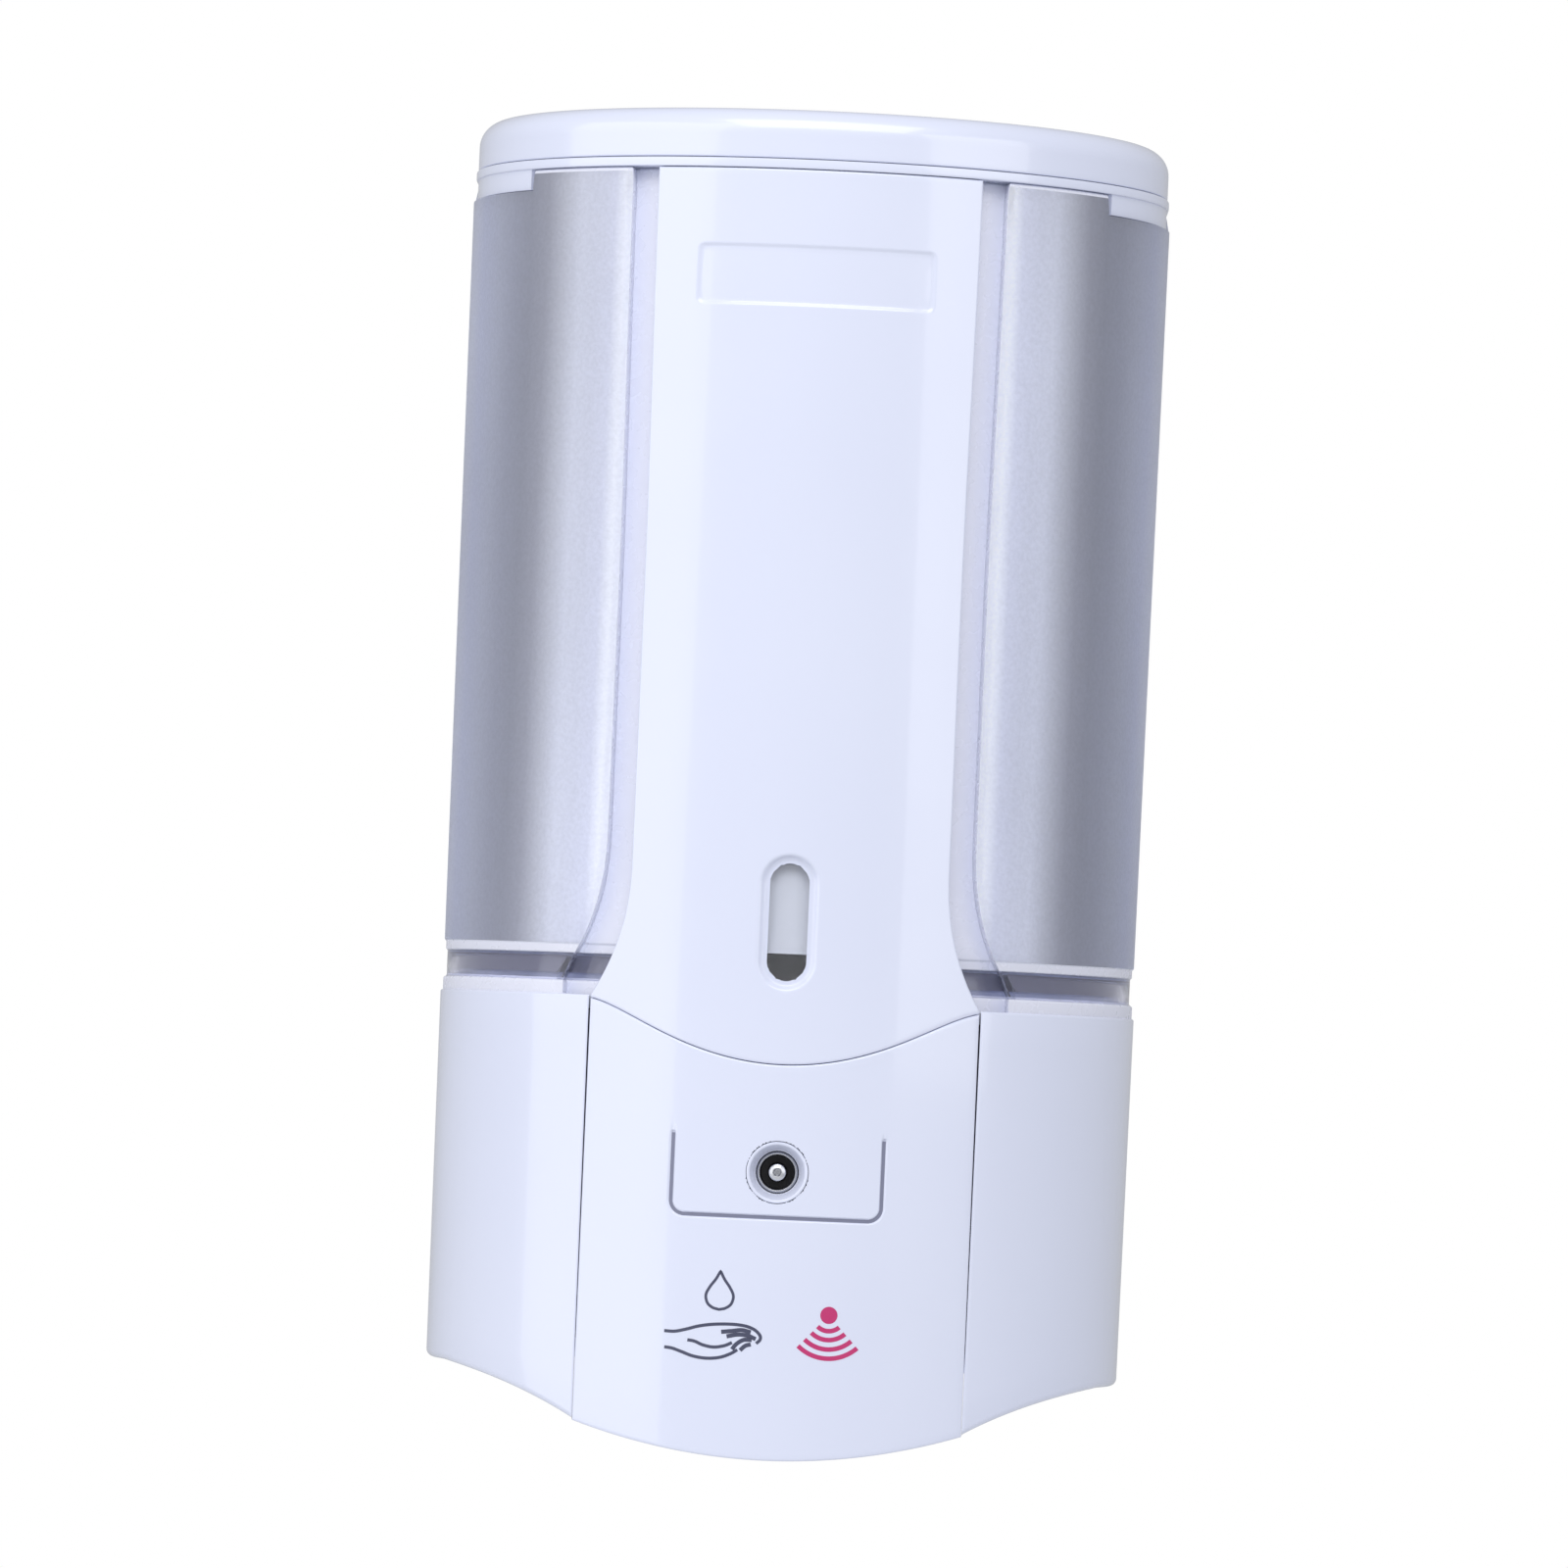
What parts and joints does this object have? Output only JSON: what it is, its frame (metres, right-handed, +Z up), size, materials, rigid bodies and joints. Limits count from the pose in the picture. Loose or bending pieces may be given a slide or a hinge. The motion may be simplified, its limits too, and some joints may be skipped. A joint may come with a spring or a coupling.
{
  "type": "wall mounted soap dispenser",
  "caption": "Touchless wall mounted soap dispenser with hinged filling lid, frosted tank, locking front door, battery tray and roller pump.",
  "frame": {"origin": "middle of the wall bracket's flat back face, which lies on the wall", "axes": "+Y into the wall, so the front faces -Y; +Z up; +X to the right as seen from the front"},
  "size_m": [0.1256, 0.108, 0.2365],
  "materials": {
    "shell_white": "glossy white ABS with a cool tint",
    "tank_frosted": "translucent plastic, frosted outside, clear at the foot and beside the panel",
    "window_clear": "clear polished plastic",
    "inner_plastic": "matt off-white moulding",
    "dark_plastic": "black moulding",
    "steel": "plated or plain steel",
    "silicone": "milky soft hose",
    "seal_rubber": "soft dark rubber",
    "gasket_grey": "pale grey foam strip",
    "board_green": "printed circuit board",
    "led_red": "red lamp body",
    "cell_wrap": "printed film on a battery cell, plain",
    "lead_red": "insulated wire"
  },
  "bodies": {
    "bracket": {"wall_bracket": "inner_plastic"},
    "dispenser": {"rear_housing": "shell_white", "rim_collar": "shell_white", "front_panel": "shell_white", "base_shell": "shell_white", "tank": "tank_frosted", "level_window": "window_clear", "ir_emitter": "window_clear", "pump_deck": "inner_plastic", "pump_housing": "inner_plastic", "pump_cover": "inner_plastic", "gearbox": "inner_plastic", "motor_mount": "inner_plastic", "battery_tray": "inner_plastic", "outlet_strainer": "inner_plastic", "nozzle": "dark_plastic", "ir_receiver": "dark_plastic", "sensor_window": "dark_plastic", "switch_body": "dark_plastic", "housing_screw_1": "steel", "housing_screw_2": "steel", "deck_screw_1": "steel", "deck_screw_2": "steel", "panel_screw_1": "steel", "panel_screw_2": "steel", "pump_screw_1": "steel", "pump_screw_2": "steel", "motor": "steel", "lock_keeper": "steel", "lid_pin_left": "steel", "lid_pin_right": "steel", "door_pin_left": "steel", "door_pin_right": "steel", "contact_spring_1": "steel", "contact_spring_2": "steel", "contact_spring_3": "steel", "contact_spring_4": "steel", "pump_hose": "silicone", "outlet_seal": "seal_rubber", "circuit_board": "board_green", "status_led": "led_red", "battery_cell_1": "cell_wrap", "battery_cell_2": "cell_wrap", "battery_cell_3": "cell_wrap", "battery_cell_4": "cell_wrap", "battery_lead": "lead_red", "motor_lead": "lead_red"},
    "lid": {"lid": "shell_white", "lid_gasket": "gasket_grey"},
    "door": {"front_door": "shell_white", "lock_sleeve": "shell_white", "lock_nut": "steel"},
    "lock": {"lock_plug": "steel", "lock_cam": "steel"},
    "rotor": {"pump_rotor": "dark_plastic", "pump_shaft": "steel"},
    "roller_1": {"pump_roller_1": "inner_plastic"},
    "roller_2": {"pump_roller_2": "inner_plastic"},
    "roller_3": {"pump_roller_3": "inner_plastic"},
    "switch": {"switch_knob": "inner_plastic"}
  },
  "joints": [
    {"name": "lift_off", "type": "slide", "parent": "bracket", "child": "dispenser", "axis": [0, 0, 1], "range_m": [0, 0.012]},
    {"name": "lid_hinge", "type": "hinge", "parent": "dispenser", "child": "lid", "pos_m": [0, -0.0204, 0.1025], "axis": [-1, 0, 0], "range_deg": [0, 90]},
    {"name": "door_hinge", "type": "hinge", "parent": "dispenser", "child": "door", "pos_m": [0, -0.092, -0.116], "axis": [1, 0, 0], "range_deg": [0, 75]},
    {"name": "lock_turn", "type": "hinge", "parent": "door", "child": "lock", "pos_m": [0, -0.0932, -0.0797], "axis": [0, -1, 0], "range_deg": [0, 90]},
    {"name": "pump_spin", "type": "hinge", "parent": "dispenser", "child": "rotor", "pos_m": [-0.009, -0.047, -0.082], "axis": [1, 0, 0], "continuous": true},
    {"name": "switch_slide", "type": "slide", "parent": "dispenser", "child": "switch", "axis": [1, 0, 0], "range_m": [0, 0.0045]},
    {"name": "roller_spin_1", "type": "hinge", "parent": "rotor", "child": "roller_1", "pos_m": [-0.0095, -0.047, -0.0738], "axis": [1, 0, 0], "continuous": true},
    {"name": "roller_spin_2", "type": "hinge", "parent": "rotor", "child": "roller_2", "pos_m": [-0.0095, -0.0399, -0.0861], "axis": [1, 0, 0], "continuous": true},
    {"name": "roller_spin_3", "type": "hinge", "parent": "rotor", "child": "roller_3", "pos_m": [-0.0095, -0.0541, -0.0861], "axis": [1, 0, 0], "continuous": true}
  ],
  "couplings": [
    {"joint": "roller_spin_1", "follows": "pump_spin", "ratio": -3.4848},
    {"joint": "roller_spin_2", "follows": "pump_spin", "ratio": -3.4848},
    {"joint": "roller_spin_3", "follows": "pump_spin", "ratio": -3.4848}
  ]
}
